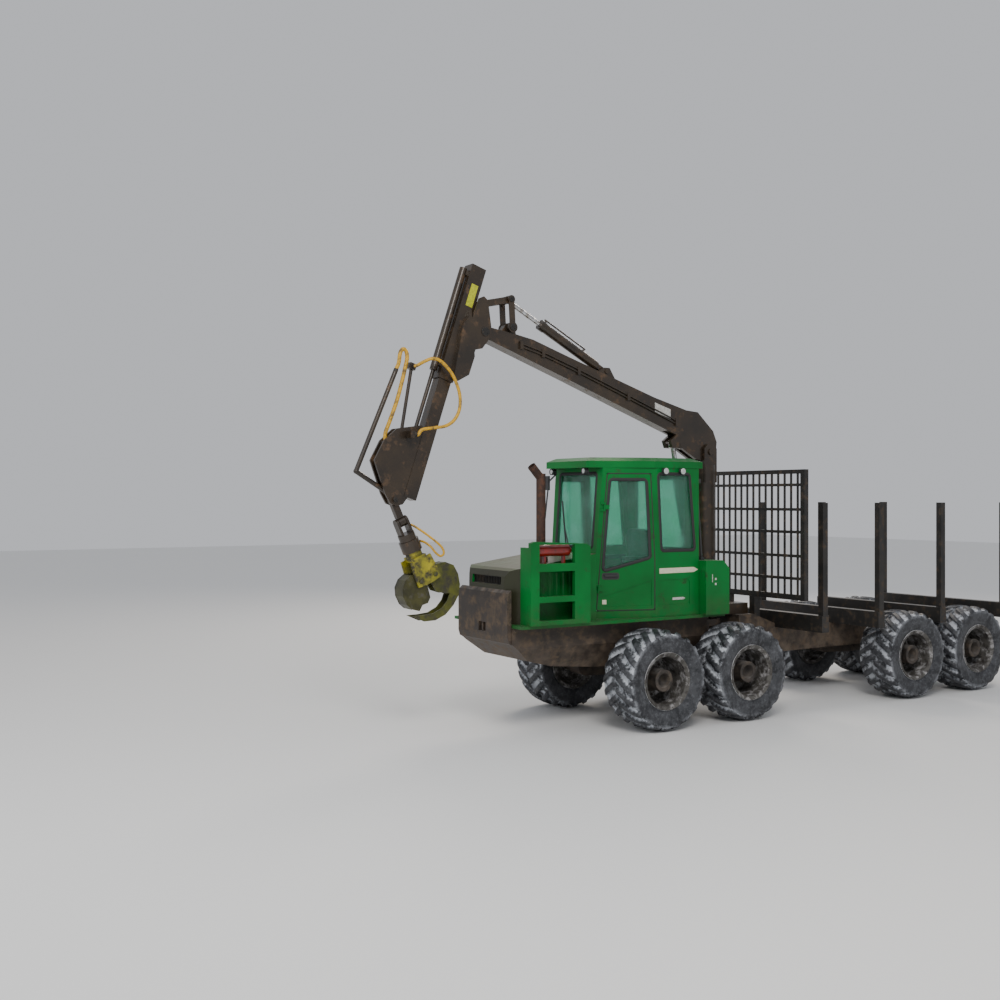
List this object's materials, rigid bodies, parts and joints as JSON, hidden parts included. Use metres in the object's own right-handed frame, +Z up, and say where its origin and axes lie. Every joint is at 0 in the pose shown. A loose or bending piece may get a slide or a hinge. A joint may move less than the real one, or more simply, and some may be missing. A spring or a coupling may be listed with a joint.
{
  "type": "forestry forwarder",
  "caption": "Articulated eight-wheel forestry forwarder with a green cab, a loader crane folded forward over the cab with its grapple at the nose, a slatted headboard and staked bunks",
  "frame": {"origin": "on the ground, under the middle of the machine's overall length and width", "axes": "+X forward, the way the cab and the folded crane point, +Y to the left, +Z up"},
  "size_m": [11.3398, 2.7, 6.1138],
  "materials": {
    "hull paint": "dirty satin",
    "green paint": "gloss",
    "dark steel": "dull",
    "axle iron": "dirty",
    "exhaust steel": "scorched",
    "red paint": "gloss",
    "window glass": "clear",
    "seat cloth": "woven",
    "boom paint": "dirty satin",
    "rod chrome": "polished",
    "hose rubber": "matt",
    "lamp plastic": "matt",
    "yellow paint": "worn satin",
    "claw steel": "worn",
    "tyre rubber": "frosted",
    "rim paint": "frosted"
  },
  "bodies": {
    "front": {"front_frame": "hull paint", "bumper": "hull paint", "hood": "green paint", "grille": "dark steel", "engine": "axle iron", "side_guards": "green paint", "exhaust": "exhaust steel", "extinguisher": "red paint", "front_bogies": "axle iron", "deck": "green paint", "cab_shell": "green paint", "cab_roof": "green paint", "cab_glass": "window glass", "seat": "seat cloth", "rear_boxes": "green paint", "cab_fittings": "lamp plastic"},
    "door": {"door": "green paint", "door_glass": "window glass"},
    "rear": {"rear_frame": "hull paint", "rear_bogies": "axle iron", "headboard": "dark steel", "bunks": "dark steel", "slew_base": "boom paint"},
    "pillar": {"pillar": "boom paint"},
    "boom": {"lift_boom": "boom paint"},
    "lift_barrel": {"lift_barrel": "boom paint"},
    "lift_rod": {"lift_rod": "rod chrome"},
    "jib_barrel": {"jib_barrel": "boom paint"},
    "jib_rod": {"jib_rod": "rod chrome"},
    "lever": {"lever": "boom paint"},
    "link": {"link": "boom paint"},
    "dipper": {"dipper": "boom paint"},
    "telescope": {"extension": "boom paint", "hoses": "hose rubber"},
    "tip_link": {"tip_link": "boom paint"},
    "tip_yoke": {"tip_yoke": "boom paint", "tip_hose": "hose rubber"},
    "grapple": {"grapple_frame": "yellow paint"},
    "claw_rear": {"claw_rear": "claw steel"},
    "claw_front": {"claw_front": "claw steel"},
    "steer_barrel_left": {"steer_barrel_left": "dark steel"},
    "steer_rod_left": {"steer_rod_left": "rod chrome"},
    "wheel_a_left": {"tyre_a_left": "tyre rubber", "rim_a_left": "rim paint"},
    "wheel_b_left": {"tyre_b_left": "tyre rubber", "rim_b_left": "rim paint"},
    "wheel_c_left": {"tyre_c_left": "tyre rubber", "rim_c_left": "rim paint"},
    "wheel_d_left": {"tyre_d_left": "tyre rubber", "rim_d_left": "rim paint"},
    "steer_barrel_right": {"steer_barrel_right": "dark steel"},
    "steer_rod_right": {"steer_rod_right": "rod chrome"},
    "wheel_a_right": {"tyre_a_right": "tyre rubber", "rim_a_right": "rim paint"},
    "wheel_b_right": {"tyre_b_right": "tyre rubber", "rim_b_right": "rim paint"},
    "wheel_c_right": {"tyre_c_right": "tyre rubber", "rim_c_right": "rim paint"},
    "wheel_d_right": {"tyre_d_right": "tyre rubber", "rim_d_right": "rim paint"}
  },
  "joints": [
    {"name": "steer", "type": "hinge", "parent": "front", "child": "rear", "pos_m": [-0.17, 0, 1.04], "axis": [0, 0, 1], "range_deg": [-40, 40]},
    {"name": "wheel_a_left", "type": "hinge", "parent": "front", "child": "wheel_a_left", "pos_m": [1.78, 1.05, 0.667], "axis": [0, 1, 0], "continuous": true},
    {"name": "wheel_b_left", "type": "hinge", "parent": "front", "child": "wheel_b_left", "pos_m": [0.28, 1.05, 0.667], "axis": [0, 1, 0], "continuous": true},
    {"name": "wheel_c_left", "type": "hinge", "parent": "rear", "child": "wheel_c_left", "pos_m": [-3.14, 1.05, 0.667], "axis": [0, 1, 0], "continuous": true},
    {"name": "wheel_d_left", "type": "hinge", "parent": "rear", "child": "wheel_d_left", "pos_m": [-4.64, 1.05, 0.667], "axis": [0, 1, 0], "continuous": true},
    {"name": "wheel_a_right", "type": "hinge", "parent": "front", "child": "wheel_a_right", "pos_m": [1.78, -1.05, 0.667], "axis": [0, 1, 0], "continuous": true},
    {"name": "wheel_b_right", "type": "hinge", "parent": "front", "child": "wheel_b_right", "pos_m": [0.28, -1.05, 0.667], "axis": [0, 1, 0], "continuous": true},
    {"name": "wheel_c_right", "type": "hinge", "parent": "rear", "child": "wheel_c_right", "pos_m": [-3.14, -1.05, 0.667], "axis": [0, 1, 0], "continuous": true},
    {"name": "wheel_d_right", "type": "hinge", "parent": "rear", "child": "wheel_d_right", "pos_m": [-4.64, -1.05, 0.667], "axis": [0, 1, 0], "continuous": true},
    {"name": "slew", "type": "hinge", "parent": "rear", "child": "pillar", "pos_m": [-0.03, 0, 2.04], "axis": [0, 0, 1], "range_deg": [-190, 190]},
    {"name": "lift", "type": "hinge", "parent": "pillar", "child": "boom", "pos_m": [-0.03, 0, 3.75], "axis": [0, -1, 0], "range_deg": [0, 58]},
    {"name": "dipper", "type": "hinge", "parent": "boom", "child": "dipper", "pos_m": [3.87, 0, 5.23], "axis": [0, -1, 0], "range_deg": [0, 58]},
    {"name": "extension", "type": "slide", "parent": "dipper", "child": "telescope", "axis": [0.3173, 0, -0.9483], "range_m": [0, 1.45]},
    {"name": "tip_swing", "type": "hinge", "parent": "telescope", "child": "tip_link", "pos_m": [5.14, 0, 3.05], "axis": [0, -1, 0], "range_deg": [0, 75]},
    {"name": "tip_cross", "type": "hinge", "parent": "tip_link", "child": "tip_yoke", "pos_m": [5.01391, 0, 2.7668], "axis": [0.9135, 0, -0.4067], "range_deg": [-40, 40]},
    {"name": "rotator", "type": "hinge", "parent": "tip_yoke", "child": "grapple", "pos_m": [5.14, 0, 3.05], "axis": [0.4067, 0, 0.9135], "continuous": true},
    {"name": "claws", "type": "hinge", "parent": "grapple", "child": "claw_rear", "pos_m": [4.60023, 0, 2.10811], "axis": [0, 1, 0], "range_deg": [0, 75]},
    {"name": "door", "type": "hinge", "parent": "front", "child": "door", "pos_m": [2.36321, 0.53814, 1.45], "axis": [0.0784, -0.0264, -0.9966], "range_deg": [0, 75]},
    {"name": "lift_barrel_swing", "type": "hinge", "parent": "pillar", "child": "lift_barrel", "pos_m": [0.28, 0, 2.35], "axis": [0, -1, 0], "range_deg": [-5, 20]},
    {"name": "lift_rod_slide", "type": "slide", "parent": "lift_barrel", "child": "lift_rod", "axis": [0.1961, 0, 0.9806], "range_m": [-0.02, 0.46]},
    {"name": "lever_swing", "type": "hinge", "parent": "boom", "child": "lever", "pos_m": [3.42, 0, 5.33], "axis": [0, -1, 0], "range_deg": [-2, 60]},
    {"name": "link_swing", "type": "hinge", "parent": "lever", "child": "link", "pos_m": [3.44, 0, 5.7], "axis": [0, -1, 0], "range_deg": [-60, 2]},
    {"name": "jib_barrel_swing", "type": "hinge", "parent": "boom", "child": "jib_barrel", "pos_m": [1.83, 0, 4.84], "axis": [0, -1, 0], "range_deg": [-5, 5]},
    {"name": "jib_rod_slide", "type": "slide", "parent": "jib_barrel", "child": "jib_rod", "axis": [0.882, 0, 0.4712], "range_m": [-0.4, 0.02]},
    {"name": "claw_front_swing", "type": "hinge", "parent": "grapple", "child": "claw_front", "pos_m": [4.80121, 0, 2.01863], "axis": [0, -1, 0], "range_deg": [-2, 77]},
    {"name": "steer_barrel_swing_left", "type": "hinge", "parent": "front", "child": "steer_barrel_left", "pos_m": [0.18, 0.22, 0.74], "axis": [0, 0, 1], "range_deg": [-23, 23]},
    {"name": "steer_rod_slide_left", "type": "slide", "parent": "steer_barrel_left", "child": "steer_rod_left", "axis": [-1, 0, 0], "range_m": [-0.16, 0.16]},
    {"name": "steer_barrel_swing_right", "type": "hinge", "parent": "front", "child": "steer_barrel_right", "pos_m": [0.18, -0.22, 0.74], "axis": [0, 0, 1], "range_deg": [-23, 23]},
    {"name": "steer_rod_slide_right", "type": "slide", "parent": "steer_barrel_right", "child": "steer_rod_right", "axis": [-1, 0, 0], "range_m": [-0.16, 0.16]}
  ],
  "couplings": [
    {"joint": "lift_barrel_swing", "follows": "lift", "ratio": 0.231},
    {"joint": "lift_rod_slide", "follows": "lift", "m_per_rad": 0.4366},
    {"joint": "lever_swing", "follows": "dipper", "ratio": 1},
    {"joint": "link_swing", "follows": "dipper", "ratio": -1},
    {"joint": "jib_barrel_swing", "follows": "dipper", "ratio": 0.012},
    {"joint": "jib_rod_slide", "follows": "dipper", "m_per_rad": -0.351},
    {"joint": "claw_front_swing", "follows": "claws", "ratio": 1},
    {"joint": "steer_barrel_swing_left", "follows": "steer", "ratio": 0.519},
    {"joint": "steer_barrel_swing_right", "follows": "steer", "ratio": 0.519},
    {"joint": "steer_rod_slide_left", "follows": "steer", "m_per_rad": 0.2155},
    {"joint": "steer_rod_slide_right", "follows": "steer", "m_per_rad": -0.2155}
  ]
}
